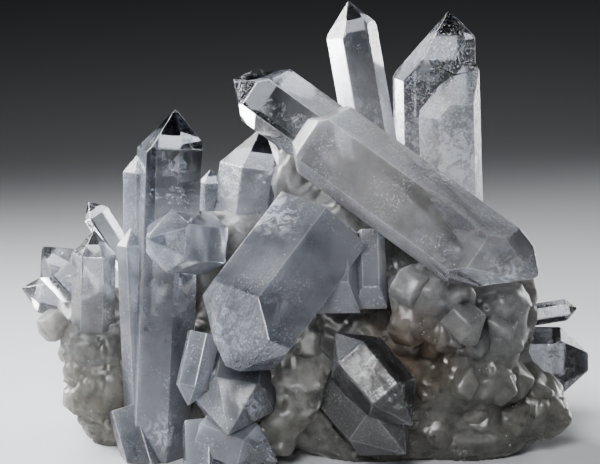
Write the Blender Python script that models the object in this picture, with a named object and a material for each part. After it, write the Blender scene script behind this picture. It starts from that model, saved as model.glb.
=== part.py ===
"""A quartz crystal cluster: prismatic crystals with pointed ends, grown together on a lumpy milky base.

Every crystal is cut as it grows: six prism faces parallel to its axis, and at its point six sloping faces that
meet the axis at quartz's own angle. Dimensions are in millimetres and are scaled to metres as they are used.
The cluster stands on the flat broken face under its base. +X is to the right, -Y is its front, +Z is up.
"""

from dataclasses import dataclass
from math import cos, radians, sin
from random import Random

import bmesh
import bpy
from mathutils import Matrix, Vector, noise

MM = 0.001

# Quartz's rhombohedral faces lean so that their normals stand this far from the crystal's long axis.
CAP_NORMAL_DEG = 51.8
# A crystal's face 0 is the one turned towards this direction, before its own turn is added.
FRONT = Vector((0.0, -0.978, 0.208))

# Clearance between a crystal and whatever it grows out of.
GROWTH_GAP = 0.3
# Blanks and cutters are made this much larger than what they cut.
BLANK_SIZE = 400.0
# How far a lump's surface wanders in and out, as a share of its size.
LUMP_ROUGHNESS = 0.16
# The small crystals that crust the base.
DRUSE_SEED = 11
DRUSE_COUNT = 85
DRUSE_RADIUS = (1.6, 3.8)
# How far a small crystal stands out of the base, in its own radii.
DRUSE_STAND = (0.3, 1.4)
DRUSE_CLEARANCE = 4.0

# Colour, roughness and metallic value of each kind of quartz.
CLEAR = ((0.80, 0.83, 0.86), 0.06, 0.0)
MILKY = ((0.66, 0.69, 0.74), 0.14, 0.0)
CRUST = ((0.50, 0.49, 0.46), 0.35, 0.0)


@dataclass
class Crystal:
    """One crystal. foot and tip are points on its axis, sides and caps distances in millimetres.

    sides: from the axis to each of the six prism faces, in order round the axis.
    caps: how far each of the six point faces lies beyond the tip (+) or short of it (-).
    foot_caps: the same for a second point at the foot; None where the foot is a flat break.
    swings: degrees by which each prism face stands off the regular hexagon.
    """

    foot: tuple
    tip: tuple
    sides: tuple
    turn: float = 0.0
    caps: tuple = (0, 0, 0, 0, 0, 0)
    foot_caps: tuple | None = None
    swings: tuple = (0, 0, 0, 0, 0, 0)


@dataclass
class Lump:
    """One rounded lump of the base: its middle and its half sizes."""

    middle: tuple
    radii: tuple


def even(radius):
    """Six prism faces at the same distance."""
    return (radius,) * 6


# The crystals, node by node. Crystals of one node have grown into one another.
CRYSTALS = {
    "centre_crystals": [
        Crystal(foot=(3.5, -14, 73.3), tip=(-28, -56, 39.4), sides=(15.5, 15.5, 15.5, 15.5, 17, 17), turn=30,
                caps=(0, -0.5, -4, -1, 6, 8), swings=(0, 0, 0, 0, 0, 20)),
        Crystal(foot=(11.5, -20, 74), tip=(12, -40, 49), sides=even(6.4), caps=(-2, 3, 3, -2, 3, 3)),
        Crystal(foot=(22.5, -18, 73), tip=(23, -37.5, 49.8), sides=even(4.6), caps=(-2, 3, 3, -2, 3, 3)),
    ],
    "diagonal_crystals": [
        Crystal(foot=(-20.6, 7.5, 122), tip=(44.8, -32.5, 80.8), sides=even(10.2), turn=9,
                foot_caps=(0.8, 1.9, 1.6, 0.0, -0.4, -1.0)),
        Crystal(foot=(-4, -6.5, 110.1), tip=(73.2, -52.9, 60.9), sides=(11, 12.3, 9.5, 11, 13, 13), turn=9,
                caps=(-3.5, -5.3, -4.4, 0.9, 4.0, 0.6), foot_caps=(0, 0.5, 0, 0, 1.5, 0)),
    ],
    "left_column": [
        Crystal(foot=(-46, -24, -4), tip=(-40, -22, 115.5), sides=(9, 7.8, 8.3, 11, 11, 10.5), turn=-10),
        Crystal(foot=(-52, -20, -4), tip=(-52, -19, 101), sides=even(5), turn=20),
        Crystal(foot=(-52, -25, -4), tip=(-54.5, -23, 77), sides=even(4.6), turn=10),
        Crystal(foot=(-30, -18, 70.2), tip=(-49, -42, 77), sides=(8, 9, 9, 8, 9, 9)),
        Crystal(foot=(-56, -22, 16), tip=(-47, -32, -12), sides=even(7), turn=15),
    ],
    "back_crystals": [
        Crystal(foot=(-24, 6, 30), tip=(-12.5, 15, 103.5), sides=even(11), turn=10),
        Crystal(foot=(-31, 12, 40), tip=(-30, 12, 89.5), sides=even(3.5), turn=4),
    ],
    "top_crystal": [
        Crystal(foot=(26.4, 7, 88.4), tip=(16, 11, 146.5), sides=(8, 6.6, 8, 8, 8, 9), turn=10),
    ],
    "tall_pair": [
        Crystal(foot=(55.5, 4, 50), tip=(52.5, 5, 127), sides=(7.5, 6, 6.5, 9, 12.5, 12), turn=12,
                caps=(-2.5, 3.5, 6, 0, 0, -1.5)),
        Crystal(foot=(49, 14, 50), tip=(46.5, 16, 144), sides=(10, 11, 10, 12, 14.3, 14.3), turn=-14,
                caps=(-2.5, 2, 1.5, 0, -2.5, -3.6)),
    ],
    "lower_front_crystals": [
        Crystal(foot=(-19, -20, 32), tip=(-23, -52, 15), sides=(11, 11.5, 11.5, 12, 11.5, 11.5)),
        Crystal(foot=(-30, -36, 11), tip=(-7, -48, 5), sides=even(8), turn=12),
        Crystal(foot=(-31, -35, 44), tip=(-36, -43, 22), sides=even(5), turn=20),
        Crystal(foot=(-31, -34, 14), tip=(-30, -46, -8), sides=even(7), turn=20),
    ],
    "front_small_crystals": [
        Crystal(foot=(11, -32, 44), tip=(36, -52, 18), sides=even(9), foot_caps=(0, 0, 0, 0, 0, 0)),
        Crystal(foot=(13, -26, 26), tip=(34, -50, 8), sides=even(11), turn=24),
    ],
    "left_clear_crystal": [
        Crystal(foot=(-72, 3, 48), tip=(-86, -3, 66), sides=even(6.5)),
    ],
    "left_blunt_crystal": [
        Crystal(foot=(-69, -12, 30), tip=(-67.6, -12, 73.5), sides=even(6.3)),
    ],
    "left_dark_crystal": [
        Crystal(foot=(-55, 4, 54), tip=(-71, 6, 79.5), sides=even(4)),
    ],
    "left_end_crystal": [
        Crystal(foot=(-79, 14.5, 43.7), tip=(-95, 14.5, 47.7), sides=even(6)),
    ],
    "right_small_crystal": [
        Crystal(foot=(70, -6, 42), tip=(92.5, -6, 45.6), sides=even(3.2)),
    ],
    "right_block_crystal": [
        Crystal(foot=(72, 0, 26.5), tip=(99.4, -2, 26.7), sides=even(9.5), caps=(-1.5, 1, 1, -1.5, 0, 0)),
    ],
    "rear_pair": [
        Crystal(foot=(10, 20, 40), tip=(4, 52, 66), sides=even(9), turn=12),
        Crystal(foot=(6, 24, 34), tip=(-16, 50, 44), sides=even(7), turn=-8),
    ],
    "rear_left_crystal": [
        Crystal(foot=(-45, 13, 31), tip=(-56, 41, 60), sides=even(8), turn=5),
    ],
    "rear_right_crystal": [
        Crystal(foot=(48, 20, 26), tip=(72, 46, 44), sides=even(8.5), turn=-6),
    ],
}

KINDS = {
    "top_crystal": CLEAR,
    "left_clear_crystal": CLEAR,
    "left_dark_crystal": CLEAR,
    "left_end_crystal": CLEAR,
    "right_small_crystal": CLEAR,
    "right_block_crystal": CLEAR,
    "diagonal_crystals": CLEAR,
    "tall_pair": CLEAR,
    "front_small_crystals": CLEAR,
}

# The base: the first lump is the body that the others grow on.
LUMPS = [
    Lump((8, 6, 34), (50, 32, 40)),
    Lump((22, 4, 68), (32, 18, 31)),
    Lump((50, 8, 60), (20, 16, 22)),
    Lump((-24, 4, 48), (24, 20, 32)),
    Lump((46, -12, 50), (22, 16, 15)),
    Lump((62, -8, 44), (17, 14, 16)),
    Lump((76, -6, 16), (13, 14, 15)),
    Lump((26, -20, 16), (34, 20, 22)),
    Lump((51.3, -20, 8.2), (28, 15, 13)),
    Lump((-14, -16, 20), (28, 18, 24)),
    Lump((40, 24, 28), (32, 24, 30)),
    Lump((-30, 24, 22), (34, 20, 26)),
    Lump((-61, 2, 22), (17, 18, 24)),
    Lump((-71, 7, 40), (12, 12, 11)),
    Lump((-68, -14, 33), (12, 10, 10)),
    Lump((-64, -16, 20), (14, 11, 13)),
    Lump((-63, -9, 9), (11, 10, 11)),
    Lump((49.4, -34, 45.4), (9, 9, 8)),
    Lump((64.9, -30, 42.7), (10, 9, 8)),
    Lump((66.5, -28, 52.6), (9.5, 9, 6.5)),
    Lump((57.8, -28, 28.1), (14.5, 13, 9)),
    Lump((76.5, -18, 12.7), (12, 12, 9.5)),
    Lump((39.8, -34, 58.5), (12.5, 10, 9)),
    Lump((34.5, -38, 47.5), (5.5, 6, 5)),
    Lump((18, -14, 56), (16, 13, 13)),
    Lump((0, 33, 20), (16, 14, 14)),
    Lump((-14, 28, 38), (14, 12, 12)),
    Lump((26, 34, 44), (13, 12, 12)),
    Lump((58, 32, 15), (15, 13, 14)),
    Lump((-48, 28, 12), (15, 14, 13)),
    Lump((-42, 24, 34), (12, 12, 11)),
    Lump((46, 36, 30), (12, 12, 12)),
    Lump((8, 20, 66), (13, 11, 11)),
]

# Small crystals of the base that have a place of their own.
BASE_CRYSTALS = [
    Crystal(foot=(-2, -18, 50), tip=(4, -42, 18), sides=even(10), turn=8),
    Crystal(foot=(-8, -24, 22), tip=(-4, -42, 4), sides=even(9), turn=20),
    Crystal(foot=(-66, -20, 14), tip=(-79, -19, 27), sides=even(2)),
    Crystal(foot=(-64, -14, 30), tip=(-82, -16, 46), sides=even(3.4), turn=16),
    Crystal(foot=(54, -20, 55), tip=(73, -26, 51), sides=even(6), turn=12),
    Crystal(foot=(2, 6, 96), tip=(-8, 2, 76), sides=even(7), turn=4),
]


def cap_and_side_normals(axis, turn, swings):
    """Unit normals of the six prism faces, and of the six point faces above them."""
    front = (FRONT - FRONT.dot(axis) * axis).normalized()
    lean = radians(CAP_NORMAL_DEG)
    sides, caps = [], []
    for k, swing in enumerate(swings):
        outward = Matrix.Rotation(radians(turn + 60 * k), 3, axis) @ front
        sides.append(Matrix.Rotation(radians(swing), 3, axis) @ outward)
        caps.append(cos(lean) * axis + sin(lean) * outward)
    return sides, caps


def crystal_planes(crystal, grow=0.0):
    """(point, normal) of each face, moved outwards by grow."""
    foot, tip = Vector(crystal.foot), Vector(crystal.tip)
    axis = (tip - foot).normalized()
    side_normals, cap_normals = cap_and_side_normals(axis, crystal.turn, crystal.swings)
    planes = [(foot + n * (d + grow), n) for n, d in zip(side_normals, crystal.sides)]
    planes += [(tip + n * (d + grow), n) for n, d in zip(cap_normals, crystal.caps)]
    if crystal.foot_caps is None:
        planes.append((foot - axis * grow, -axis))
    else:
        mirrored = [n - 2 * n.dot(axis) * axis for n in cap_normals]
        planes += [(foot + n * (d + grow), n) for n, d in zip(mirrored, crystal.foot_caps)]
    return planes


def cut_to_planes(mesh, planes):
    """Cuts a closed bmesh down to what lies behind every plane."""
    for point, normal in planes:
        everything = mesh.verts[:] + mesh.edges[:] + mesh.faces[:]
        cut = bmesh.ops.bisect_plane(
            mesh, geom=everything, plane_co=point * MM, plane_no=normal, clear_outer=True, dist=1e-7
        )
        rim = [e for e in cut["geom_cut"] if isinstance(e, bmesh.types.BMEdge)]
        if rim:
            bmesh.ops.edgeloop_fill(mesh, edges=rim)
    bmesh.ops.remove_doubles(mesh, verts=mesh.verts, dist=1e-6)
    bmesh.ops.recalc_face_normals(mesh, faces=mesh.faces)


def finished(mesh, name):
    """The bmesh as mesh data."""
    data = bpy.data.meshes.new(name)
    mesh.to_mesh(data)
    mesh.free()
    return data


def crystal_mesh(name, crystal, grow=0.0):
    """A block cut to the crystal's faces."""
    mesh = bmesh.new()
    middle = (Vector(crystal.foot) + Vector(crystal.tip)) / 2
    bmesh.ops.create_cube(mesh, size=BLANK_SIZE * MM, matrix=Matrix.Translation(middle * MM))
    cut_to_planes(mesh, crystal_planes(crystal, grow))
    return finished(mesh, name)


def lump_mesh(name, lump, fineness):
    """A ball stretched to the lump's half sizes, its surface pushed in and out unevenly."""
    mesh = bmesh.new()
    bmesh.ops.create_icosphere(mesh, subdivisions=fineness, radius=1.0)
    middle = Vector(lump.middle)
    for vert in mesh.verts:
        away = vert.co.copy()
        swell = 1.0 + LUMP_ROUGHNESS * noise.noise(away * 2.3 + middle)
        vert.co = (middle + Vector([a * r * swell for a, r in zip(away, lump.radii)])) * MM
    return finished(mesh, name)


def buried(point, own):
    """Whether a point of one lump's surface lies inside another lump."""
    for lump in LUMPS:
        if lump is not own:
            offset = [(p - m) / r for p, m, r in zip(point, lump.middle, lump.radii)]
            if Vector(offset).length < 1.0:
                return True
    return False


def near_a_crystal(point, members):
    """Whether a point lies inside one of the crystals, or within the small crystals' clearance of it."""
    for crystal in members:
        if all((point - p).dot(n) < DRUSE_CLEARANCE for p, n in crystal_planes(crystal)):
            return True
    return False


def druse_crystals():
    """Small stubby crystals standing on the open surface of the lumps, leaning outwards and up."""
    rng = Random(DRUSE_SEED)
    large = [crystal for members in CRYSTALS.values() for crystal in members]
    crystals = []
    while len(crystals) < DRUSE_COUNT:
        lump = rng.choice(LUMPS)
        away = Vector([rng.uniform(-1, 1), rng.uniform(-1, 1), rng.uniform(-0.5, 0.9)]).normalized()
        reach = Vector([a * r for a, r in zip(away, lump.radii)])
        surface = Vector(lump.middle) + reach
        if buried(surface, lump) or near_a_crystal(surface, large) or surface.z < 5:
            continue
        lean = (away + Vector([rng.uniform(-0.4, 0.4), rng.uniform(-0.4, 0.4), rng.uniform(0, 0.5)])).normalized()
        radius = rng.uniform(*DRUSE_RADIUS)
        foot = surface - lean * radius * 1.6
        tip = surface + lean * radius * rng.uniform(*DRUSE_STAND)
        crystals.append(Crystal(tuple(foot), tuple(tip), even(radius), turn=rng.uniform(0, 60)))
    return crystals


def material(name, kind):
    """A plain surface of one colour, roughness and metallic value."""
    colour, roughness, metallic = kind
    surface = bpy.data.materials.new(name)
    surface.use_nodes = True
    shader = surface.node_tree.nodes["Principled BSDF"]
    shader.inputs["Base Color"].default_value = (*colour, 1.0)
    shader.inputs["Roughness"].default_value = roughness
    shader.inputs["Metallic"].default_value = metallic
    surface.diffuse_color = (*colour, 1.0)
    return surface


def new_collection(name, parent):
    collection = bpy.data.collections.new(name)
    parent.children.link(collection)
    return collection


def place(data, collection, parent):
    obj = bpy.data.objects.new(data.name, data)
    obj.parent = parent
    collection.objects.link(obj)
    return obj


def cutter(data, collection, parent):
    """An object that only shapes another one."""
    obj = place(data, collection, parent)
    obj.hide_render = True
    obj.display_type = "WIRE"


def boolean(obj, operation, collection):
    """Adds or takes away everything in the collection."""
    step = obj.modifiers.new(f"{operation.lower()} {collection.name}", "BOOLEAN")
    step.operation = operation
    step.operand_type = "COLLECTION"
    step.collection = collection
    step.solver = "EXACT"


def ground_block(name):
    """Everything below z = 0."""
    mesh = bmesh.new()
    lowered = Matrix.Translation((0, 0, -BLANK_SIZE / 2 * MM))
    bmesh.ops.create_cube(mesh, size=BLANK_SIZE * MM, matrix=lowered)
    return finished(mesh, name)


def add_base(cluster, cutters, root):
    """The lumps and the small crystals on them, grown into one solid."""
    first, *others = LUMPS
    base = place(lump_mesh("base", first, 3), cluster, root)
    base.data.materials.append(material("base", CRUST))
    growth = new_collection("base growth", cutters)
    for k, lump in enumerate(others):
        cutter(lump_mesh(f"base_lump_{k}", lump, 2), growth, root)
    for k, crystal in enumerate(BASE_CRYSTALS + druse_crystals()):
        cutter(crystal_mesh(f"base_crystal_{k}", crystal), growth, root)
    boolean(base, "UNION", growth)
    return base


def add_crystals(node, members, cluster, cutters, root):
    """One node: its first crystal, with the others that have grown into it."""
    first, *others = members
    obj = place(crystal_mesh(node, first), cluster, root)
    obj.data.materials.append(material(node, KINDS.get(node, MILKY)))
    if others:
        grown_in = new_collection(f"{node} others", cutters)
        for k, crystal in enumerate(others):
            cutter(crystal_mesh(f"{node}_other_{k}", crystal), grown_in, root)
        boolean(obj, "UNION", grown_in)
    return obj


def centre_over_origin(objects, root):
    """Moves everything so that the cluster's footprint is centred on x = y = 0."""
    graph = bpy.context.evaluated_depsgraph_get()
    corners = []
    for obj in objects:
        evaluated = obj.evaluated_get(graph)
        corners += [evaluated.matrix_world @ Vector(c) for c in evaluated.bound_box]
    for axis in (0, 1):
        values = [c[axis] for c in corners]
        root.location[axis] = -(min(values) + max(values)) / 2


def main():
    for old in list(bpy.data.objects):
        bpy.data.objects.remove(old)
    scene = bpy.context.scene.collection
    cluster = new_collection("quartz_cluster", scene)
    cutters = new_collection("cutters", scene)
    root = bpy.data.objects.new("cluster_root", None)
    cluster.objects.link(root)

    ground = new_collection("ground", cutters)
    cutter(ground_block("ground_block"), ground, root)
    sockets = new_collection("sockets", cutters)

    base = add_base(cluster, cutters, root)
    solids = [base]
    for node, members in CRYSTALS.items():
        solids.append(add_crystals(node, members, cluster, cutters, root))
        for k, crystal in enumerate(members):
            cutter(crystal_mesh(f"{node}_socket_{k}", crystal, GROWTH_GAP), sockets, root)
    boolean(base, "DIFFERENCE", sockets)
    for obj in solids:
        boolean(obj, "DIFFERENCE", ground)
    centre_over_origin(solids, root)


if __name__ == "__main__":
    main()
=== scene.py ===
"""A quartz crystal cluster: glassy points, cloudy prisms and flaws inside them, on a lumpy milky base.

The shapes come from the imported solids. Crystals get softened edges, growth lines and flaws, and the base gets
its grain, its crust of small crystals and its stains. Lengths are in metres, and points in millimetres are
turned into metres as they are used. +X is to the right, -Y is the front, +Z is up.
"""

from dataclasses import dataclass
from math import cos, radians, sin
from random import Random

import bmesh
import bpy
import numpy as np
from bpy.props import FloatProperty, FloatVectorProperty, IntProperty, PointerProperty
from mathutils import Matrix, Vector, noise
from mathutils.bvhtree import BVHTree


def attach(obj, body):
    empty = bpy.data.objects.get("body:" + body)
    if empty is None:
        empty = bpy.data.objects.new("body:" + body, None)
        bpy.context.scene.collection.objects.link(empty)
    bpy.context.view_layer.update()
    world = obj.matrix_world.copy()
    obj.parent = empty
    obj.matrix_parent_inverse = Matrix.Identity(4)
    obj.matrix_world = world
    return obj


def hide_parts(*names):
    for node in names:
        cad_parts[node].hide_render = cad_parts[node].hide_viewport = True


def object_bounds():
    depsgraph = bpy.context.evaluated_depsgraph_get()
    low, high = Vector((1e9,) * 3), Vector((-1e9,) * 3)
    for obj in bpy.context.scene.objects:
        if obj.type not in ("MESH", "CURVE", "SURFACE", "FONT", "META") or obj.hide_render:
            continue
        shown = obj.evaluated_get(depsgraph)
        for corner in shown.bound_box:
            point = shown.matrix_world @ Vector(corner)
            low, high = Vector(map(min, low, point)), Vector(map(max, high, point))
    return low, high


bl_info = {
    "name": "Quartz Crystal Cluster",
    "version": (1, 0, 0),
    "blender": (4, 5, 0),
    "location": "View3D > Sidebar > Quartz",
    "description": "Dresses a quartz crystal cluster and sets up its studio",
    "category": "Object",
}

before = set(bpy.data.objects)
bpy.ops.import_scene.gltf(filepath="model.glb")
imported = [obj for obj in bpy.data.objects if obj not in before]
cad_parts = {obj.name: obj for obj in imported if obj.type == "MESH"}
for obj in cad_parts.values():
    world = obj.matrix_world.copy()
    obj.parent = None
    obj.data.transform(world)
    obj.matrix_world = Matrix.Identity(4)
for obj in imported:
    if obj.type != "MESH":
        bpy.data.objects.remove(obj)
CAD_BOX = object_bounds()

MM = 0.001
# Below this height the base's skin stays as it was cut.
FOOT_RIM = 0.0012
# From the point that the crystals' places are measured from to the middle of the cluster's footprint.
SHIFT = Vector((-1.0, 4.767, 0.0))


@dataclass
class Growth:
    """One crystal's axis from foot to tip in millimetres, its radius, and its cloudiness at either end."""

    foot: tuple
    tip: tuple
    radius: float
    cloud: tuple = (1.0, 0.0)

    def start(self):
        return (Vector(self.foot) + SHIFT) * MM

    def end(self):
        return (Vector(self.tip) + SHIFT) * MM

    def axis(self):
        return (self.end() - self.start()).normalized()

    def length(self):
        return (self.end() - self.start()).length

    def misfit(self, face):
        """How little a face looks like this crystal's own, which lie a radius off its axis and face away."""
        offset = face.calc_center_median() - self.start()
        along = min(max(offset.dot(self.axis()), 0.0), self.length())
        away = offset - along * self.axis()
        return abs(away.length / (self.radius * MM) - 0.9) + 2.0 * (1.0 - away.normalized().dot(face.normal))


# Node by node, the crystals that have grown into one another.
GROWTHS = {
    "centre_crystals": [
        Growth((3.5, -14, 73.3), (-28, -56, 39.4), 16, (1.0, 0.25)),
        Growth((11.5, -20, 74), (12, -40, 49), 6.4, (1.2, 0.8)),
        Growth((22.5, -18, 73), (23, -37.5, 49.8), 4.6, (1.2, 0.8)),
    ],
    "diagonal_crystals": [
        Growth((-20.6, 7.5, 122), (44.8, -32.5, 80.8), 10.2, (-0.5, 1.4)),
        Growth((-4, -6.5, 110.1), (73.2, -52.9, 60.9), 12, (0.9, 0.3)),
    ],
    "left_column": [
        Growth((-46, -24, -4), (-40, -22, 115.5), 10, (1.15, -0.35)),
        Growth((-52, -20, -4), (-52, -19, 101), 5, (1.2, 0.2)),
        Growth((-52, -25, -4), (-54.5, -23, 77), 4.6, (1.1, 0.4)),
        Growth((-30, -18, 70.2), (-49, -42, 77), 8.6, (0.9, 0.5)),
        Growth((-56, -22, 16), (-47, -32, -12), 7, (0.8, 0.6)),
    ],
    "back_crystals": [
        Growth((-24, 6, 30), (-12.5, 15, 103.5), 11, (1.1, 0.1)),
        Growth((-31, 12, 40), (-30, 12, 89.5), 3.5, (0.9, 0.3)),
    ],
    "top_crystal": [
        Growth((26.4, 7, 88.4), (16, 11, 146.5), 8, (1.2, 0.0)),
    ],
    "tall_pair": [
        Growth((55.5, 4, 50), (52.5, 5, 127), 8.5, (1.3, 0.3)),
        Growth((49, 14, 50), (46.5, 16, 144), 12, (0.9, -0.1)),
    ],
    "lower_front_crystals": [
        Growth((-19, -20, 32), (-23, -52, 15), 11.5, (1.0, 0.45)),
        Growth((-30, -36, 11), (-7, -48, 5), 8, (0.9, 0.4)),
        Growth((-31, -35, 44), (-36, -43, 22), 5, (0.9, 0.4)),
        Growth((-31, -34, 14), (-30, -46, -8), 7, (0.8, 0.3)),
    ],
    "front_small_crystals": [
        Growth((11, -32, 44), (36, -52, 18), 9, (0.5, 0.35)),
        Growth((13, -26, 26), (34, -50, 8), 11, (1.0, 0.8)),
    ],
    "left_clear_crystal": [Growth((-72, 3, 48), (-86, -3, 66), 6.5, (0.6, -0.1))],
    "left_blunt_crystal": [Growth((-69, -12, 30), (-67.6, -12, 73.5), 6.3, (0.8, 0.0))],
    "left_dark_crystal": [Growth((-55, 4, 54), (-71, 6, 79.5), 4, (0.4, -0.1))],
    "left_end_crystal": [Growth((-79, 14.5, 43.7), (-95, 14.5, 47.7), 6, (0.5, 0.2))],
    "right_small_crystal": [Growth((70, -6, 42), (92.5, -6, 45.6), 3.2, (0.4, -0.1))],
    "right_block_crystal": [Growth((72, 0, 26.5), (99.4, -2, 26.7), 9.5, (0.5, 0.3))],
    "rear_pair": [
        Growth((10, 20, 40), (4, 52, 66), 9, (1.1, 0.2)),
        Growth((6, 24, 34), (-16, 50, 44), 7, (1.1, 0.3)),
    ],
    "rear_left_crystal": [Growth((-45, 13, 31), (-56, 41, 60), 8, (1.1, 0.2))],
    "rear_right_crystal": [Growth((48, 20, 26), (72, 46, 44), 8.5, (1.1, 0.2))],
}

# Faces that are frosted white, partly frost and partly painted light on the faces that the light falls on:
# which way they look, and how strongly.
FROSTS_AND_PAINTED_LIGHT = {
    "centre_crystals": [((-0.40, -0.86, 0.30), 0.8), ((-0.94, -0.32, 0.13), 0.8), ((0.23, -0.96, -0.16), 0.7),
                        ((0.32, -0.51, -0.80), 0.6)],
    "diagonal_crystals": [((-0.98, -0.08, -0.17), 0.8), ((-0.66, -0.47, -0.59), 0.45),
                          ((0.29, -0.42, 0.86), 0.9)],
    "left_column": [((-0.94, -0.33, 0.05), 0.5), ((-0.12, -0.85, -0.51), 0.95), ((-0.74, -0.37, -0.55), 0.7)],
    "back_crystals": [((-0.77, -0.62, 0.17), 0.25)],
    "top_crystal": [((-0.74, -0.67, -0.09), 0.2), ((0.93, -0.31, 0.19), 0.6), ((0.20, -0.98, 0.10), 0.35),
                    ((0.62, -0.20, 0.76), 0.5)],
    "tall_pair": [((0.22, -0.98, 0.02), 0.4), ((0.15, -0.76, 0.63), 0.4), ((-0.77, -0.21, 0.60), 0.35)],
    "lower_front_crystals": [((-0.69, -0.71, 0.17), 0.5), ((0.65, -0.75, 0.12), 0.3),
                             ((-0.88, -0.30, -0.36), 0.7)],
    "front_small_crystals": [((-0.98, -0.13, 0.14), 0.8), ((-0.55, -0.38, 0.74), 0.8)],
    "left_blunt_crystal": [((0.70, -0.40, 0.60), 0.8), ((0.86, -0.51, -0.03), 0.35)],
    "left_dark_crystal": [((0.76, -0.40, 0.51), 0.6)],
    "left_clear_crystal": [((0.81, -0.37, 0.45), 0.5)],
}

# White veils of healed cracks: middle and reach in millimetres, and strength.
BLUE_VEILS = [
    ((-8.4, -24, 78.6), 15, 1.0), ((-5, 6, 85), 8, 1.0), ((-22, -50, 49), 16, 0.4), ((-40, -30, 98), 9, 0.7),
    ((-44, -34, 10), 10, 0.7), ((-42, -38, 75), 7, 0.5), ((-14, -46, 22), 9, 0.5), ((-10, -46, 8), 7, 0.6),
]
GREY_VEILS = [
    ((3.3, -2, 105), 10, 1.0), ((42.7, -34, 70.5), 8, 1.0), ((44, -24, 88), 17, 0.8),
    ((20, 6, 108.7), 12, 0.8), ((66, -48, 66), 13, 0.6), ((-68, -12, 58), 10, 0.5),
]
CRACKED_VEILS = [((52, 6, 90), 36, 0.75), ((44, 8, 128), 20, 0.4), ((0, 36, 54), 26, 0.5)]
DIM_VEILS = [((86, -4, 24), 14, 0.5), ((20, -44, 36), 8, 0.7)]
# Where the quartz of the longest crystal is warm in colour.
WARM_SPOTS = [((36, -22, 90), 34, 0.6), ((8, -14, 88), 12, 0.4)]
# Which quartz each crystal is; the rest are grey.
KINDS = {
    "centre_crystals": "blue", "left_column": "blue", "back_crystals": "blue", "lower_front_crystals": "blue",
    "tall_pair": "cracked", "rear_pair": "cracked",
    "front_small_crystals": "dim", "right_block_crystal": "dim",
}


# --- shader expressions ------------------------------------------------------------------------------------


class Value:
    """A socket of a material that takes part in Python expressions."""

    def __init__(self, graph, socket):
        self.graph = graph
        self.socket = socket

    def math(self, operation, *others):
        return self.graph.node("ShaderNodeMath", {"operation": operation}, *others)

    def __add__(self, other):
        return self.math("ADD", self, other)

    def __sub__(self, other):
        return self.math("SUBTRACT", self, other)

    def __rsub__(self, other):
        return self.math("SUBTRACT", other, self)

    def __mul__(self, other):
        return self.math("MULTIPLY", self, other)

    def clamped(self):
        made = self.math("ADD", self, 0.0)
        made.socket.node.use_clamp = True
        return made

    def ramp(self, low, high):
        """0 below low and 1 above high, with a smooth step between."""
        settings = {"interpolation_type": "SMOOTHSTEP"}
        return self.graph.node("ShaderNodeMapRange", settings, self, low, high, 0.0, 1.0)

    def output(self, name):
        return Value(self.graph, self.socket.node.outputs[name])


class Graph:
    """A new material's nodes."""

    def __init__(self, name):
        self.material = bpy.data.materials.new(name)
        self.material.use_nodes = True
        self.tree = self.material.node_tree
        self.tree.nodes.clear()
        self.out = self.tree.nodes.new("ShaderNodeOutputMaterial")

    def node(self, kind, settings=None, *values, **named):
        """A node of that kind, with its settings made first and then its sockets, in order or by name."""
        made = self.tree.nodes.new(kind)
        for key, value in (settings or {}).items():
            setattr(made, key, value)
        for socket, value in zip(made.inputs, values):
            self.feed(socket, value)
        for key, value in named.items():
            self.feed(made.inputs[key.replace("_", " ")], value)
        return Value(self, made.outputs[0])

    def feed(self, socket, value):
        if isinstance(value, Value):
            self.tree.links.new(value.socket, socket)
        elif value is not None:
            socket.default_value = value

    def place(self):
        """The point on the piece, in metres."""
        return self.node("ShaderNodeTexCoord").output("Object")

    def noise(self, vector, scale, detail=3.0, roughness=0.5, distortion=0.0):
        return self.node(
            "ShaderNodeTexNoise", None, Vector=vector, Scale=scale, Detail=detail, Roughness=roughness,
            Distortion=distortion,
        )

    def cells(self, vector, scale):
        return self.node("ShaderNodeTexVoronoi", None, Vector=vector, Scale=scale)

    def blotch(self, spots):
        """Each spot's strength in its middle, and 0 beyond its reach, both of them in millimetres."""
        found = Value(self, self.node("ShaderNodeValue").socket)
        found.socket.default_value = 0.0
        for middle, reach, strength in spots:
            middle = tuple((Vector(middle) + SHIFT) * MM)
            away = self.node("ShaderNodeVectorMath", {"operation": "DISTANCE"}, self.place(), middle)
            near = 1.0 - away.output("Value").ramp(0.0, reach * MM)
            found = found.math("MAXIMUM", found, near * strength)
        return found

    def scaled(self, vector, factors):
        return self.node("ShaderNodeVectorMath", {"operation": "MULTIPLY"}, vector, factors)

    def mix(self, factor, first, second):
        """first where the factor is 0 and second where it is 1, as colours."""
        made = self.tree.nodes.new("ShaderNodeMix")
        made.data_type = "RGBA"
        sockets = [s for s in made.inputs if s.type == "RGBA"]
        self.feed(made.inputs[0], factor)
        self.feed(sockets[0], first)
        self.feed(sockets[1], second)
        return Value(self, next(s for s in made.outputs if s.type == "RGBA"))

    def bump(self, height, strength, distance):
        return self.node("ShaderNodeBump", None, Height=height, Strength=strength, Distance=distance)

    def finish(self, surface, volume=None):
        self.feed(self.out.inputs["Surface"], surface)
        self.feed(self.out.inputs["Volume"], volume)
        return self.material


def colour(values):
    return (*values, 1.0)


# How many times to the metre each pattern of the quartz repeats.
WISPS = 30.0
MOTTLE = 210.0
SUGAR = 1300.0
SPRINKLES = 75.0
TORN = 240.0
SPECKS = 420.0
HEALED = 130.0
DARK_CRACKS = 260.0
SWELLS = 110.0
# The same across a crystal and along it, for what is drawn out one way.
STREAKS = (1500.0, 90.0, 0.0)
LENGTHWISE = (620.0, 22.0, 0.0)
GROWTH_LINES = (50.0, 1300.0, 0.0)
# How high the bumps of the crystals and the base are, in metres.
BUMP_HEIGHT = 0.0004


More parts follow.
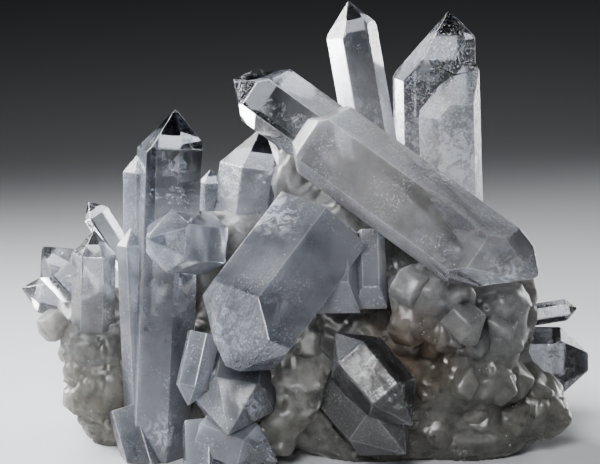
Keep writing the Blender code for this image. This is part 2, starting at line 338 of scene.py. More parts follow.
def growth_relief(graph, grain):
    """Fine growth lines across a crystal, broken up, over gently uneven faces."""
    lines = graph.noise(graph.scaled(grain, GROWTH_LINES), 1.0, 2.0, 0.6)
    patches = graph.noise(graph.place(), 80.0, 2.0).ramp(0.45, 0.65)
    swells = graph.noise(graph.place(), SWELLS, 1.0)
    return lines * patches * 0.35 + swells


def hairlines(graph, place, size, width, where):
    """Thin curved lines: the contours of a noise, kept only where the other noise is high."""
    field = graph.noise(place, size, 2.0, 0.5, 0.6)
    line = 1.0 - (field - 0.5).math("ABSOLUTE").ramp(0.0, width)
    return line * graph.noise(place, where, 2.0).ramp(0.5, 0.6)


def quartz(name, settings, milk, veil_spots, crackle):
    """Glass that turns cloudy towards its foot, with frosted faces and painted light on them, white specks that
    are partly painted glints, and hairline cracks.
    """
    graph = Graph(name)
    place = graph.place()
    grain = graph.node("ShaderNodeUVMap", {"uv_map": "grain"})
    reach = graph.node("ShaderNodeSeparateXYZ", None, graph.node("ShaderNodeUVMap", {"uv_map": "reach"}))
    share, frost_and_painted_light = reach, reach.output("Y")
    wisps = graph.noise(place, WISPS, 3.0, 0.5, 0.3)
    mottle = graph.noise(place, MOTTLE, 4.0, 0.65)
    sugar = graph.noise(place, SUGAR, 3.0, 0.65)
    streaks = graph.noise(graph.scaled(grain, STREAKS), 1.0, 3.0, 0.7)
    lengthwise = graph.noise(graph.scaled(grain, LENGTHWISE), 1.0, 4.0, 0.7).ramp(0.46, 0.74)
    lengthwise = lengthwise * wisps.ramp(0.48, 0.66)
    torn = graph.noise(place, TORN, 5.0, 0.75, 1.2).ramp(0.44, 0.6)
    veils = graph.blotch(veil_spots) * torn
    sprinkled = graph.noise(place, SPRINKLES, 3.0, 0.6).ramp(0.42, 0.66)
    warm = graph.blotch(WARM_SPOTS)
    cloud = share + warm * 0.5 + (wisps - 0.5) * 1.3 + (mottle - 0.5) * 0.45
    cloud = cloud.ramp(-0.1, 1.1) * settings.cloud_share
    # Frost, partly real and partly painted light on the faces that the light falls on.
    rime_and_painted_light = frost_and_painted_light * ((streaks * 0.5 + sugar * 0.5).ramp(0.25, 0.85) * 0.6 + 0.3)
    # White specks: partly inclusions, partly painted glints.
    dots = graph.cells(place, SPECKS)
    specks = (1.0 - dots.ramp(0.05, 0.14)) * graph.noise(place, 120.0, 2.0).ramp(0.54, 0.66)
    # White flecks on the sugar, more in crackled quartz: partly crackle, partly painted sparkle.
    painted_sparkle_and_crackle = sugar.ramp(0.5, 0.75) * (sprinkled + crackle * 1.6) * settings.speckle
    healed = hairlines(graph, place, HEALED, 0.016, 95.0) * (crackle + 0.6)
    white = (rime_and_painted_light * 0.5 + lengthwise * 0.05 + specks * 0.35 + painted_sparkle_and_crackle * 0.5 + healed + veils * 0.7).clamped()
    factor = cloud + rime_and_painted_light * 0.5 + lengthwise * 0.06 + specks * 0.6 + painted_sparkle_and_crackle * 0.7 + healed + veils * 0.8
    factor = factor.clamped()
    relief = growth_relief(graph, grain) + (painted_sparkle_and_crackle + veils) * 0.5
    normal = graph.bump(relief, 0.4, BUMP_HEIGHT)
    clear = graph.node(
        "ShaderNodeBsdfPrincipled", None, Base_Color=colour(settings.glass_colour),
        Roughness=mottle.ramp(0.45, 0.75) * 0.07 + settings.polish, IOR=settings.ior, Transmission_Weight=1.0,
        Normal=normal,
    )
    warmed = graph.mix(warm, colour(milk), colour(settings.warm_colour))
    whiter = graph.mix((white + wisps.ramp(0.45, 0.8) * 0.1).clamped(), warmed, colour(settings.white_colour))
    cracked = (hairlines(graph, place, DARK_CRACKS, 0.035, 160.0) * crackle * 1.6).clamped()
    darkened = graph.mix(cracked, whiter, colour(settings.crack_colour))
    cloudy = graph.node(
        "ShaderNodeBsdfPrincipled", None, Base_Color=darkened, Roughness=wisps * 0.08 + 0.17, IOR=settings.ior,
        Subsurface_Weight=1.0, Transmission_Weight=settings.translucency, Subsurface_Radius=(0.9, 1.0, 1.15),
        Subsurface_Scale=settings.cloud_depth, Normal=normal,
    )
    both = graph.node("ShaderNodeMixShader", None, factor, clear, cloudy)
    taken = graph.node(
        "ShaderNodeVolumeAbsorption", None, Color=colour(settings.depth_colour),
        Density=settings.depth_density,
    )
    return graph.finish(both, taken)


# The upper base's grey and white, which are cooler than the foot's.
HIGH_CRUST = (colour((0.25, 0.255, 0.27)), colour((0.46, 0.465, 0.48)))


def crust(name, settings, glassy_share):
    """Milky quartz with glassy patches, browned by iron in its hollows, with painted light on its rims and in
    its hollows, and painted sparkles.
    """
    graph = Graph(name)
    place = graph.place()
    hollow = graph.node("ShaderNodeAttribute", {"attribute_name": "hollow"}).output("Fac")
    stain = graph.node("ShaderNodeAttribute", {"attribute_name": "stain"}).output("Fac")
    patches = graph.noise(place, 34.0, 2.0, 0.5)
    grains = graph.noise(place, 330.0, 4.0, 0.65)
    dots = graph.cells(place, 500.0)
    # Painted sparkles: small white dots, which are also milky rather than glassy.
    specks = (1.0 - dots.ramp(0.05, 0.14)) * graph.noise(place, 90.0, 2.0).ramp(0.56, 0.66)
    # Painted rim light: the crust is paler where its surface turns away from the view.
    painted_rim_light = graph.node("ShaderNodeLayerWeight", None, 0.35).output("Facing")
    height = graph.node("ShaderNodeSeparateXYZ", None, place).output("Z")
    # Paler in patches and grain, at the painted sparkles and the painted rim light, in the hollows as painted
    # light against their shade, and with height, which paints the foot darker as shade.
    paleness_and_painted_light = patches.ramp(0.35, 0.75) * 0.4 + (grains - 0.5) * 0.2 + specks + painted_rim_light * 0.45 + hollow * 0.5
    paleness_and_painted_light = (paleness_and_painted_light + height.ramp(0.02, 0.075) * 0.45 - 0.1).clamped()
    pale = graph.mix(paleness_and_painted_light, colour(settings.crust_colour), colour(settings.crust_white))
    pale = graph.mix(height.ramp(0.015, 0.06) * 0.8, pale, graph.mix(paleness_and_painted_light, *HIGH_CRUST))
    browned = (stain * (grains * 0.8 + 0.5)).clamped()
    tinted = graph.mix(browned, pale, colour(settings.stain_colour))
    normal = graph.bump(grains * 0.5 + dots * 0.2, 0.1, BUMP_HEIGHT)
    milky = graph.node(
        "ShaderNodeBsdfPrincipled", None, Base_Color=tinted, Roughness=grains * 0.3 + 0.32, IOR=1.3,
        Subsurface_Weight=1.0, Subsurface_Radius=(1.0, 0.95, 0.9), Subsurface_Scale=settings.crust_depth,
        Normal=normal,
    )
    glassy = graph.node(
        "ShaderNodeBsdfPrincipled", None,
        Base_Color=graph.mix(browned, colour(settings.glass_colour), tinted),
        Roughness=patches * 0.12 + grains * 0.08 + 0.13, IOR=1.45, Transmission_Weight=1.0, Normal=normal,
    )
    clear_spots = ((patches - 0.5) * 0.7 - (grains - 0.5) * 0.5 + glassy_share - specks).clamped()
    return graph.finish(graph.node("ShaderNodeMixShader", None, clear_spots, milky, glassy))


def flaw(name, settings):
    """The white of a healed crack: specks and streaks, and nothing between them."""
    graph = Graph(name)
    place = graph.place()
    specks = graph.noise(place, 700.0, 4.0, 0.7).ramp(0.45, 0.62)
    wisps = graph.noise(place, 120.0, 3.0, 0.6, 1.5).ramp(0.42, 0.66)
    white = graph.node(
        "ShaderNodeBsdfPrincipled", None, Base_Color=colour(settings.white_colour), Roughness=0.25,
        IOR=1.3, Alpha=(specks * wisps * 0.9).clamped(),
    )
    return graph.finish(white)


# --- meshes ------------------------------------------------------------------------------------------------


# Corners nearer than this are one corner, and faces that turn by less than FLAT_ANGLE are one face.
SAME_CORNER = 2e-6
FLAT_ANGLE = radians(0.6)
# An edge is broken where it is sharper than this and longer than this many of its widths.
SHARP_ANGLE = radians(8)
SHORTEST_EDGE = 6


def merged_copy(node):
    """A copy of a solid's mesh, with its triangles joined and its flat faces whole again."""
    mesh = bmesh.new()
    mesh.from_mesh(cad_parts[node].data)
    bmesh.ops.remove_doubles(mesh, verts=mesh.verts, dist=SAME_CORNER)
    bmesh.ops.dissolve_limit(mesh, angle_limit=FLAT_ANGLE, verts=mesh.verts, edges=mesh.edges)
    return mesh


def soften_edges(mesh, width):
    """Breaks the edges where flat faces meet, but not the rim of a foot."""
    above = [e for e in mesh.edges if max(v.co.z for v in e.verts) > FOOT_RIM]
    longest = [e for e in above if e.calc_length() > SHORTEST_EDGE * width]
    sharp = [e for e in longest if e.calc_face_angle(0.0) > SHARP_ANGLE]
    bmesh.ops.bevel(
        mesh, geom=sharp, offset=width, offset_type="OFFSET", affect="EDGES", segments=2, profile=0.5,
        material=-1,
    )


# A face narrower than this many edge widths is a broken edge, and its frost, which also paints a glint along
# the edge.
BROKEN_WIDTH = 1.2
BROKEN_FROST_AND_PAINTED_GLINT = 0.4
# How well a face has to look the listed way, as a cosine.
SAME_WAY = 0.985


def frost_and_painted_light_of(face, frosts_and_painted_light, edge_width):
    """How strongly a face is frosted and painted light: a broken edge always is, with a painted glint, a
    crystal face only where it is listed.
    """
    if face.calc_area() < BROKEN_WIDTH * edge_width * max(e.calc_length() for e in face.edges):
        return BROKEN_FROST_AND_PAINTED_GLINT
    return max((amount for way, amount in frosts_and_painted_light if face.normal.dot(Vector(way)) > SAME_WAY), default=0.0)


def lay_growth_maps(mesh, growths, frosts_and_painted_light, edge_width):
    """Two maps: metres across and along the crystal that a face belongs to, and its cloudiness and its frost
    with painted light.
    """
    grain = mesh.loops.layers.uv.new("grain")
    reach = mesh.loops.layers.uv.new("reach")
    for face in mesh.faces:
        own = min(growths, key=lambda g: g.misfit(face))
        axis = own.axis()
        across = axis.cross(face.normal)
        if across.length < 0.05:
            across = axis.orthogonal()
        across.normalize()
        frost_and_painted_light = frost_and_painted_light_of(face, frosts_and_painted_light, edge_width)
        for loop in face.loops:
            offset = loop.vert.co - own.start()
            along = offset.dot(axis)
            share = along / own.length()
            loop[grain].uv = (offset.dot(across), along)
            loop[reach].uv = (own.cloud[0] + share * (own.cloud[1] - own.cloud[0]), frost_and_painted_light)


def new_piece(name, mesh, material, smooth=False):
    """The bmesh as an object of the cluster."""
    data = bpy.data.meshes.new(name)
    mesh.to_mesh(data)
    mesh.free()
    if smooth:
        data.shade_smooth()
    data.materials.append(material)
    piece = bpy.data.objects.new(name, data)
    bpy.context.scene.collection.objects.link(piece)
    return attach(piece, "root")


def dress_crystal(node, material, settings):
    """A crystal with softened edges and growth maps, in place of its solid."""
    mesh = merged_copy(node)
    soften_edges(mesh, settings.edge_width)
    lay_growth_maps(mesh, GROWTHS[node], FROSTS_AND_PAINTED_LIGHT.get(node, ()), settings.edge_width)
    piece = new_piece(f"{node}_glass", mesh, material)
    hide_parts(node)


def remeshed(mesh, name, voxel, filled):
    """The bmesh as one skin of even grain, with gaps narrower than twice filled grown shut."""
    data = bpy.data.meshes.new(name)
    mesh.to_mesh(data)
    mesh.free()
    rough = bpy.data.objects.new(name, data)
    bpy.context.scene.collection.objects.link(rough)
    for step, shift in (("grown", filled), ("shrunk", -filled), ("even", 0.0)):
        skin = rough.modifiers.new(f"{step}_grain", "REMESH")
        skin.mode = "VOXEL"
        skin.voxel_size = voxel
        push = rough.modifiers.new(step, "DISPLACE")
        push.strength = shift
        push.mid_level = 0.0
    evaluated = rough.evaluated_get(bpy.context.evaluated_depsgraph_get())
    made = bmesh.new()
    made.from_mesh(evaluated.to_mesh())
    bpy.data.objects.remove(rough)
    bpy.data.meshes.remove(data)
    return made


# Where the base is sugary, and where it is knobbly: middle and reach in millimetres.
SUGARY = [((-66, -8, 22), 30), ((-60, 20, 40), 25)]
KNOBBLY = [
    ((40, -30, 44), 15), ((68, -28, 46), 16), ((30, -34, 62), 10), ((10, 40, 20), 24), ((60, 30, 20), 20),
]


def nearness(point, places):
    """1 in the middle of the nearest of the places, and 0 beyond its reach."""
    return max(max(1.0 - (point - (Vector(middle) + SHIFT) * MM).length / (reach * MM), 0.0)
               for middle, reach in places)


def facets(point, size, slope):
    """Flat facets about as wide as size, each tilted its own way."""
    middle = noise.voronoi(point / size)[1][0] * size
    tilt = noise.cell_vector(middle * 7919.0) - Vector((0.5, 0.5, 0.5))
    return tilt.dot(point - middle) * slope


def base_relief(point):
    """How far the base's surface stands out at a point."""
    sugary = min(nearness(point, SUGARY) * 2.5, 1.0)
    knobbly = min(nearness(point, KNOBBLY) * 2.5, 1.0)
    relief = facets(point, 9 * MM, 0.5) * (1 - knobbly) + facets(point, 2.6 * MM, 0.9) * sugary
    return relief + 0.0013 * knobbly * (0.45 - noise.voronoi(point * 210.0)[0][0])


# How often the skin is rounded before it is pushed in and out.
ROUNDINGS = 3


def round_off(mesh, verts):
    bmesh.ops.smooth_vert(mesh, verts=verts, factor=0.5, use_axis_x=True, use_axis_y=True, use_axis_z=True)


def relieve(mesh, depth):
    """Rounds the skin and pushes it in and out, with its flat foot left flat."""
    upper = [v for v in mesh.verts if v.co.z > FOOT_RIM]
    for _ in range(ROUNDINGS):
        round_off(mesh, upper)
    mesh.normal_update()
    shifts = [v.normal * base_relief(v.co) * depth for v in upper]
    for vert, shift in zip(upper, shifts):
        vert.co += shift
    round_off(mesh, upper)
    for vert in mesh.verts:
        vert.co.z = 0.0 if vert.co.z < FOOT_RIM / 2 else vert.co.z


def read_points(data, name):
    """That vector of every vertex, one to a row."""
    values = np.empty(len(data.vertices) * 3)
    data.vertices.foreach_get(name, values)
    return values.reshape(-1, 3)


def store(data, name, values):
    data.attributes.new(name, "FLOAT", "POINT").data.foreach_set("value", values.astype(np.float32))


# How many rings of neighbours are a point's surroundings, and how deep the deepest hollow is.
HOLLOW_RINGS = 14
HOLLOW_DEPTH = 0.0009


def mark_hollows(data):
    """Stores how deep each point lies below its surroundings, which the crust paints paler as painted light."""
    count = len(data.vertices)
    places = read_points(data, "co")
    normals = read_points(data, "normal")
    ends = np.empty(len(data.edges) * 2, dtype=np.int32)
    data.edges.foreach_get("vertices", ends)
    first, second = ends.reshape(-1, 2).T
    links = np.bincount(first, minlength=count) + np.bincount(second, minlength=count)
    smooth = places.copy()
    for _ in range(HOLLOW_RINGS):
        total = np.zeros_like(smooth)
        np.add.at(total, first, smooth[second])
        np.add.at(total, second, smooth[first])
        smooth = total / links[:, None]
    depth = ((smooth - places) * normals).sum(axis=1)
    store(data, "hollow", np.clip(depth / HOLLOW_DEPTH, 0.0, 1.0))


# Where iron has browned the base: middle and reach in millimetres, and strength.
STAINS = [
    ((34, -34, 38), 17, 0.9),
    ((-66, -20, 8), 14, 0.2),
]


def mark_stains(data):
    """Stores how strongly iron has browned each point."""
    places = read_points(data, "co")
    strength = np.zeros(len(places))
    for middle, reach, amount in STAINS:
        away = np.linalg.norm(places - np.array((Vector(middle) + SHIFT) * MM), axis=1) / (reach * MM)
        strength = np.maximum(strength, amount * np.clip(1.3 - away, 0.0, 1.0))
    store(data, "stain", strength)


# Healed cracks, node by node: crystal, how many, between which shares of its length, and size in its radii.
CRACKS = {
    "diagonal_crystals": [(0, 12, 0.05, 0.6, 0.5), (1, 8, 0.15, 0.9, 0.4)],
    "tall_pair": [(0, 10, 0.15, 0.85, 0.4), (1, 12, 0.2, 0.88, 0.35)],
    "top_crystal": [(0, 10, 0.12, 0.9, 0.42)],
    "left_column": [(0, 12, 0.5, 0.93, 0.4), (0, 6, 0.1, 0.5, 0.4), (3, 5, 0.2, 0.8, 0.4)],
    "centre_crystals": [(0, 6, 0.15, 0.5, 0.6), (0, 8, 0.5, 0.85, 0.3)],
    "back_crystals": [(0, 7, 0.3, 0.85, 0.4)],
    "lower_front_crystals": [(0, 6, 0.3, 0.85, 0.4), (1, 5, 0.3, 0.85, 0.4)],
    "front_small_crystals": [(0, 8, 0.3, 0.85, 0.35), (1, 4, 0.3, 0.8, 0.35)],
    "left_clear_crystal": [(0, 4, 0.4, 0.85, 0.45)],
    "left_blunt_crystal": [(0, 4, 0.5, 0.85, 0.4)],
    "left_end_crystal": [(0, 4, 0.4, 0.85, 0.45)],
    "right_small_crystal": [(0, 3, 0.5, 0.85, 0.45)],
    "right_block_crystal": [(0, 7, 0.4, 0.85, 0.4)],
    "rear_pair": [(0, 5, 0.4, 0.85, 0.4), (1, 4, 0.4, 0.85, 0.4)],
    "rear_left_crystal": [(0, 5, 0.4, 0.85, 0.4)],
    "rear_right_crystal": [(0, 5, 0.4, 0.85, 0.4)],
}


# What each crack is drawn from: shares of the given size, of its own width, and of the room off the axis.
CRACK_SIZES = (0.45, 1.0)
CRACK_SHAPES = (0.35, 0.9)
CRACK_PLACES = (0.2, 1.0)
# The share of a crystal's radius that its cracks stay within, and their height above the floor in radii.
CRACK_ROOM = 0.75
CRACK_LIFT = 1.4
CRACK_BOW = 0.3
CRACK_WAVES = 250.0
FULL_TURN = 6.28


def crack(mesh, growth, span, size, thickness, rng):
    """A thin, curled sheet somewhere inside a crystal."""
    axis = growth.axis()
    reach = growth.radius * MM
    radius = reach * size * rng.uniform(*CRACK_SIZES)
    away = Matrix.Rotation(rng.uniform(0.0, FULL_TURN), 3, axis) @ axis.orthogonal().normalized()
    centre = growth.start() + axis * growth.length() * rng.uniform(*span)
    centre += away * max(reach * CRACK_ROOM - radius, 0.0) * rng.uniform(*CRACK_PLACES)
    centre.z = max(centre.z, radius * CRACK_LIFT + FOOT_RIM)
    facing = (Vector([rng.gauss(0.0, 1.0) for _ in range(3)]) + axis).normalized()
    shape = Matrix.Diagonal((radius, radius * rng.uniform(*CRACK_SHAPES), thickness, 1.0))
    turned = Matrix.Translation(centre) @ facing.to_track_quat("Z", "Y").to_matrix().to_4x4()
    made = bmesh.ops.create_icosphere(mesh, subdivisions=3, radius=1.0, matrix=turned @ shape)
    for vert in made["verts"]:
        vert.co += facing * noise.noise(vert.co * CRACK_WAVES) * radius * CRACK_BOW


# In a small crystal's radii: its foot's width, its point's height, and how far that stands off the middle.
SMALL_FOOT = 0.9
SMALL_POINTS = (0.35, 0.8)
SMALL_SHIFT = 0.35


def small_crystal(mesh, foot, lean, radius, height, rng):
    """A stubby six-sided crystal whose point stands off its middle."""
    turn = lean.to_track_quat("Z", "Y").to_matrix().to_4x4() @ Matrix.Rotation(rng.uniform(0, 1), 4, "Z")
    made = bmesh.ops.create_cone(
        mesh, cap_ends=True, segments=6, radius1=radius * SMALL_FOOT, radius2=radius, depth=height,
        matrix=Matrix.Translation(foot) @ turn,
    )
    faces = {f for v in made["verts"] for f in v.link_faces}
    top = max(faces, key=lambda f: f.calc_center_median().dot(lean))
    poked = bmesh.ops.poke(mesh, faces=[top], offset=radius * rng.uniform(*SMALL_POINTS))
    for vert in poked["verts"]:
        vert.co += Vector([rng.uniform(-SMALL_SHIFT, SMALL_SHIFT) * radius for _ in range(3)])


def crystal_tree():
    """The large crystals' faces, to tell how near a point is to them."""
    corners, faces = [], []
    for node in GROWTHS:
        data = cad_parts[node].data
        faces += [tuple(len(corners) + v for v in p.vertices) for p in data.polygons]
        corners += [v.co.copy() for v in data.vertices]
    return BVHTree.FromPolygons(corners, faces)


# How many places are tried for each small crystal, and how far it leans from the skin's own direction.
TRIES = 12
LEAN = 0.45
# In a small crystal's radii: its height, its room to the box's sides, and its clearance from the large ones.
SMALL_HEIGHT = 1.25
SMALL_ROOM = 1.5
SMALL_CLEARANCE = 1.15


def scatter(mesh, skin, large, count, radii, sunk, spacing, rng):
    """Small crystals on the skin, clear of the large ones and the floor, sunk and spaced in their radii."""
    low, high = (Vector(c) for c in CAD_BOX)
    made = []
    for spot in rng.sample(list(skin.polygons), min(count * TRIES, len(skin.polygons))):
        radius = rng.uniform(*radii)
        lean = (spot.normal + LEAN * Vector([rng.uniform(-1.0, 1.0) for _ in range(3)])).normalized()
        centre = spot.center - lean * radius * sunk
        room = Vector((radius, radius, radius)) * SMALL_ROOM
        inside = all(lo <= c <= hi for lo, c, hi in zip(low + room, centre, high - room))
        apart = all((centre - other).length > spacing * (radius + size) for other, size in made)
        if inside and apart and large.find_nearest(centre, radius * SMALL_CLEARANCE)[0] is None:
            small_crystal(mesh, centre, lean, radius, radius * SMALL_HEIGHT, rng)
            made.append((centre, radius))
        if len(made) == count:
            break


# --- settings ----------------------------------------------------------------------------------------------


def length(name, description, default):
    return FloatProperty(
        name=name, description=description, default=default, min=0.0, unit="LENGTH", precision=4
    )


def number(name, description, default):
    return FloatProperty(name=name, description=description, default=default, min=0.0)


def amount(name, description, default):
    return IntProperty(name=name, description=description, default=default, min=0)


def tint(name, description, default):
    return FloatVectorProperty(
        name=name, description=description, default=default, size=3, min=0.0, max=1.0, subtype="COLOR"
    )


class QuartzSettings(bpy.types.PropertyGroup):
    """What the crystals are like."""

    edge_width: length("Edge width", "How wide the broken edge between two faces is", 0.00026)
    ior: number("Refraction", "How strongly the quartz bends light", 1.544)
    polish: number("Polish", "Roughness of the clean faces", 0.02)
    glass_colour: tint("Glass", "Colour of the clear quartz", (0.96, 0.975, 1.0))
    depth_colour: tint("Depth", "Colour that the light keeps inside the quartz", (0.74, 0.745, 0.77))
    depth_density: number("Depth density", "How fast the light takes on that colour", 60.0)
    blue_colour: tint("Blue cloud", "Colour of the bluish cloudy quartz", (0.375, 0.387, 0.422))
    grey_colour: tint("Grey cloud", "Colour of the grey cloudy quartz", (0.44, 0.44, 0.448))
    # The dim cloud is painted shade: a dark body for the crystals that the bright floor would light from
    # behind.
    dim_painted_shade_colour: tint("Dim cloud", "Colour of the smoky quartz", (0.17, 0.168, 0.168))
    pale_colour: tint("Pale cloud", "Colour of the crackled quartz", (0.62, 0.62, 0.63))
    warm_colour: tint("Warm cloud", "Colour of its warm patches", (0.37, 0.352, 0.335))
    white_colour: tint("White cloud", "Colour of its whitest wisps", (0.80, 0.83, 0.89))
    cloud_share: number("Cloud share", "How cloudy the cloudiest quartz is", 0.74)
    translucency: number("Translucency", "How much light passes the cloudy quartz", 0.35)
    cloud_depth: length("Cloud depth", "How far light wanders in the cloudy quartz", 0.012)
    crack_colour: tint("Cracks", "Colour of the dark cracks", (0.06, 0.06, 0.062))
    speckle: number("Speckle", "How strongly white specks show", 0.55)


class BaseSettings(bpy.types.PropertyGroup):
    """What the base is like."""

    grain: length("Grain", "Size of the skin's cells", 0.00095)
    filled: length("Filled", "Half the width of the gaps that are grown shut", 0.0038)
    relief: number("Relief", "How strongly the skin is pushed in and out", 1.0)
    crust_colour: tint("Crust", "Colour of the grey crust", (0.245, 0.245, 0.228))
    # The white crust is also the colour of the painted light on the rims and in the hollows, and of the painted
    # sparkles.
    crust_white: tint("White crust", "Colour of its white patches", (0.47, 0.47, 0.45))
    stain_colour: tint("Stain", "Colour of the iron stains", (0.30, 0.21, 0.14))
    glass_colour: tint("Glass", "Colour of its clear patches", (0.84, 0.83, 0.80))
    crust_depth: length("Crust depth", "How far light wanders in the crust", 0.02)
    block_count: amount("Blocks", "How many stubby crystals it holds", 140)
    block_radius: length("Block radius", "Radius of the largest stubby crystals", 0.0094)
    small_count: amount("Small crystals", "How many crust the base", 260)
    small_radius: length("Small radius", "Radius of the largest small crystals", 0.0024)


class FlawSettings(bpy.types.PropertyGroup):
    """What the flaws inside the crystals are like."""

    white_colour: tint("White", "Colour of the healed cracks", (0.85, 0.86, 0.88))
    thickness: length("Thickness", "How thick a crack's sheet is", 0.00006)


class StudioSettings(bpy.types.PropertyGroup):
    """The floor, the lamps and the camera."""

    floor_colour: tint("Floor", "Colour of the floor", (0.60, 0.61, 0.63))
    floor_radius: length("Floor radius", "How far the floor reaches", 3.0)
    room_colour: tint("Room", "Colour of the room's faint light", (0.018, 0.020, 0.022))
    side_power: number("Sides", "Power of the lamp on the left, in watts", 1.55)
    top_power: number("Above", "Power of the lamp above, in watts", 0.5)
    front_power: number("Front", "Power of the lamp in front, in watts", 1.45)


# --- operators ---------------------------------------------------------------------------------------------


class QUARTZ_OT_base(bpy.types.Operator):
    """Grow the base's skin over its lumps"""

    bl_idname = "quartz.base"
    bl_label = "Base"

    def execute(self, context):
        settings = context.scene.quartz_base
        skin = remeshed(merged_copy("base"), "base_rough", settings.grain, settings.filled)
        relieve(skin, settings.relief)
        piece = new_piece("base_crust", skin, crust("base_crust", settings, 0.6), smooth=True)
        mark_hollows(piece.data)
        mark_stains(piece.data)
        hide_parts("base")
        return {"FINISHED"}


class QUARTZ_OT_small_crystals(bpy.types.Operator):
    """Crust the base with small crystals"""

    bl_idname = "quartz.small_crystals"
    bl_label = "Small crystals"

    def execute(self, context):
        settings = context.scene.quartz_base
        rng = Random(5)
        skin = bpy.data.objects["base_crust"].data
        large = crystal_tree()
        for name, count, smallest, largest, sunk, apart, rounding, clear_share in (
            ("base_blocks", settings.block_count, 0.42, settings.block_radius, 0.9, 0.5, 0.07, 0.6),
            ("base_small_crystals", settings.small_count, 0.3, settings.small_radius, 0.75, 0.8, 0.06, 0.5),
        ):
            mesh = bmesh.new()
            scatter(mesh, skin, large, count, (smallest * largest, largest), sunk, apart, rng)
            bmesh.ops.bevel(
                mesh, geom=mesh.edges, offset=rounding * largest, offset_type="OFFSET", affect="EDGES",
                segments=2, profile=0.5, material=-1, clamp_overlap=True,
            )
            piece = new_piece(name, mesh, crust(name, settings, clear_share), smooth=True)
            mark_hollows(piece.data)
            mark_stains(piece.data)
        return {"FINISHED"}


class QUARTZ_OT_crystals(bpy.types.Operator):
    """Dress the large crystals"""

    bl_idname = "quartz.crystals"
    bl_label = "Crystals"

    def execute(self, context):
        settings = context.scene.quartz_crystals
        kinds = {
            "blue": quartz("blue_quartz", settings, settings.blue_colour, BLUE_VEILS, 0.0),
            "grey": quartz("grey_quartz", settings, settings.grey_colour, GREY_VEILS, 0.0),
            "cracked": quartz("cracked_quartz", settings, settings.pale_colour, CRACKED_VEILS, 0.7),
            "dim": quartz("dim_painted_shade_quartz", settings, settings.dim_painted_shade_colour, DIM_VEILS, 0.25),
        }
        for node in GROWTHS:
            dress_crystal(node, kinds[KINDS.get(node, "grey")], settings)
        return {"FINISHED"}


class QUARTZ_OT_flaws(bpy.types.Operator):
    """Put healed cracks inside the crystals"""

    bl_idname = "quartz.flaws"
    bl_label = "Flaws"

    def execute(self, context):
        settings = context.scene.quartz_flaws
        material = flaw("healed_cracks", settings)
        for node, groups in CRACKS.items():
            rng = Random(node)
            mesh = bmesh.new()
            for member, count, low, high, size in groups:
                for _ in range(count):
                    crack(mesh, GROWTHS[node][member], (low, high), size, settings.thickness, rng)
            new_piece(f"{node}_flaws", mesh, material, smooth=True)
        return {"FINISHED"}


class QUARTZ_OT_studio(bpy.types.Operator):
    """Set the floor, the lamps and the camera"""

    bl_idname = "quartz.studio"
    bl_label = "Studio"

    def execute(self, context):
        settings = context.scene.quartz_studio
        add_floor(settings)
        add_room(settings)
        for name, place, size, power in (
            ("left", (-0.56, 0.15, 0.34), 0.46, settings.side_power),
            ("right", (0.46, 0.38, 0.14), 0.50, settings.side_power * 0.5),
            ("above", (-0.27, 0.30, 0.58), 0.40, settings.top_power),
            ("front", (-0.22, -0.93, 0.62), 0.44, settings.front_power),
        ):
            add_lamp(name, Vector(place), size, power)
        add_camera()
        context.scene.view_settings.look = "AgX - High Contrast"
        return {"FINISHED"}


# The point that the camera and the lamps look at, and the camera's distance from it and height above it.
AIM = Vector((-0.0010, 0.00477, 0.0702))
CAMERA_DISTANCE = 0.9
CAMERA_TILT = radians(12.0)
LENS_MM = 162.0
SENSOR_MM = 36.0
LAMP_SPREAD = radians(64.0)


def add_floor(settings):
    mesh = bmesh.new()
    bmesh.ops.create_circle(mesh, cap_ends=True, segments=96, radius=settings.floor_radius)
    data = bpy.data.meshes.new("floor")
    mesh.to_mesh(data)
    mesh.free()
    graph = Graph("floor")
    paper = graph.node(
        "ShaderNodeBsdfPrincipled", None, Base_Color=colour(settings.floor_colour), Roughness=0.6,
        Specular_IOR_Level=0.2,
    )
    data.materials.append(graph.finish(paper))
    floor = bpy.data.objects.new("floor", data)
    bpy.context.scene.collection.objects.link(floor)


def add_room(settings):
    room = bpy.data.worlds.new("room")
    room.use_nodes = True
    room.node_tree.nodes["Background"].inputs["Color"].default_value = colour(settings.room_colour)
    bpy.context.scene.world = room


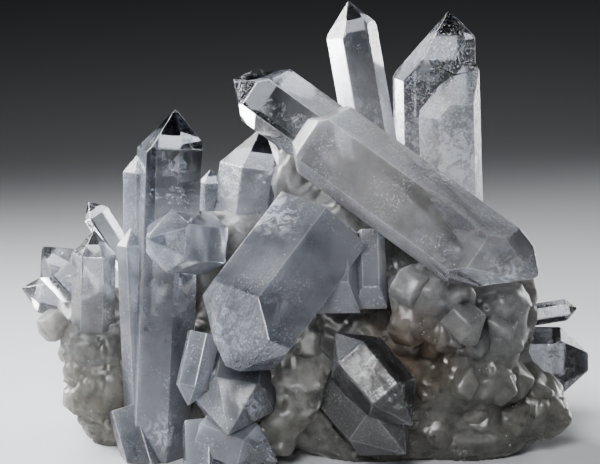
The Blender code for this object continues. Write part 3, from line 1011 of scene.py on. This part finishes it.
def add_lamp(name, place, size, power):
    data = bpy.data.lights.new(name, "AREA")
    data.shape = "SQUARE"
    data.size = size
    data.energy = power
    data.spread = LAMP_SPREAD
    lamp = bpy.data.objects.new(name, data)
    lamp.location = place
    lamp.rotation_euler = (AIM - place).to_track_quat("-Z", "Y").to_euler()
    bpy.context.scene.collection.objects.link(lamp)


def add_camera():
    data = bpy.data.cameras.new("camera")
    data.lens = LENS_MM
    data.sensor_width = SENSOR_MM
    data.clip_start = 0.01
    camera = bpy.data.objects.new("camera", data)
    back = Vector((0.0, -cos(CAMERA_TILT), sin(CAMERA_TILT)))
    camera.location = AIM + CAMERA_DISTANCE * back
    camera.rotation_euler = (-back).to_track_quat("-Z", "Y").to_euler()
    bpy.context.scene.collection.objects.link(camera)
    bpy.context.scene.camera = camera


class QUARTZ_PT_panel(bpy.types.Panel):
    """The cluster's pieces and their settings"""

    bl_idname = "QUARTZ_PT_panel"
    bl_label = "Quartz cluster"
    bl_space_type = "VIEW_3D"
    bl_region_type = "UI"
    bl_category = "Quartz"

    def draw(self, context):
        for kind in OPERATORS:
            self.layout.operator(kind.bl_idname)
        for owner in (getattr(context.scene, name) for name in SETTINGS):
            box = self.layout.box()
            for key in owner.__annotations__:
                box.prop(owner, key)


OPERATORS = (QUARTZ_OT_base, QUARTZ_OT_small_crystals, QUARTZ_OT_crystals, QUARTZ_OT_flaws, QUARTZ_OT_studio)
SETTINGS = {
    "quartz_crystals": QuartzSettings,
    "quartz_base": BaseSettings,
    "quartz_flaws": FlawSettings,
    "quartz_studio": StudioSettings,
}


def register():
    for kind in (*SETTINGS.values(), *OPERATORS, QUARTZ_PT_panel):
        bpy.utils.register_class(kind)
    for name, kind in SETTINGS.items():
        setattr(bpy.types.Scene, name, PointerProperty(type=kind))


def unregister():
    for name in SETTINGS:
        delattr(bpy.types.Scene, name)
    for kind in (QUARTZ_PT_panel, *OPERATORS, *SETTINGS.values()):
        bpy.utils.unregister_class(kind)


def main():
    register()
    bpy.ops.quartz.base()
    bpy.ops.quartz.small_crystals()
    bpy.ops.quartz.crystals()
    bpy.ops.quartz.flaws()
    bpy.ops.quartz.studio()


if __name__ == "__main__":
    main()
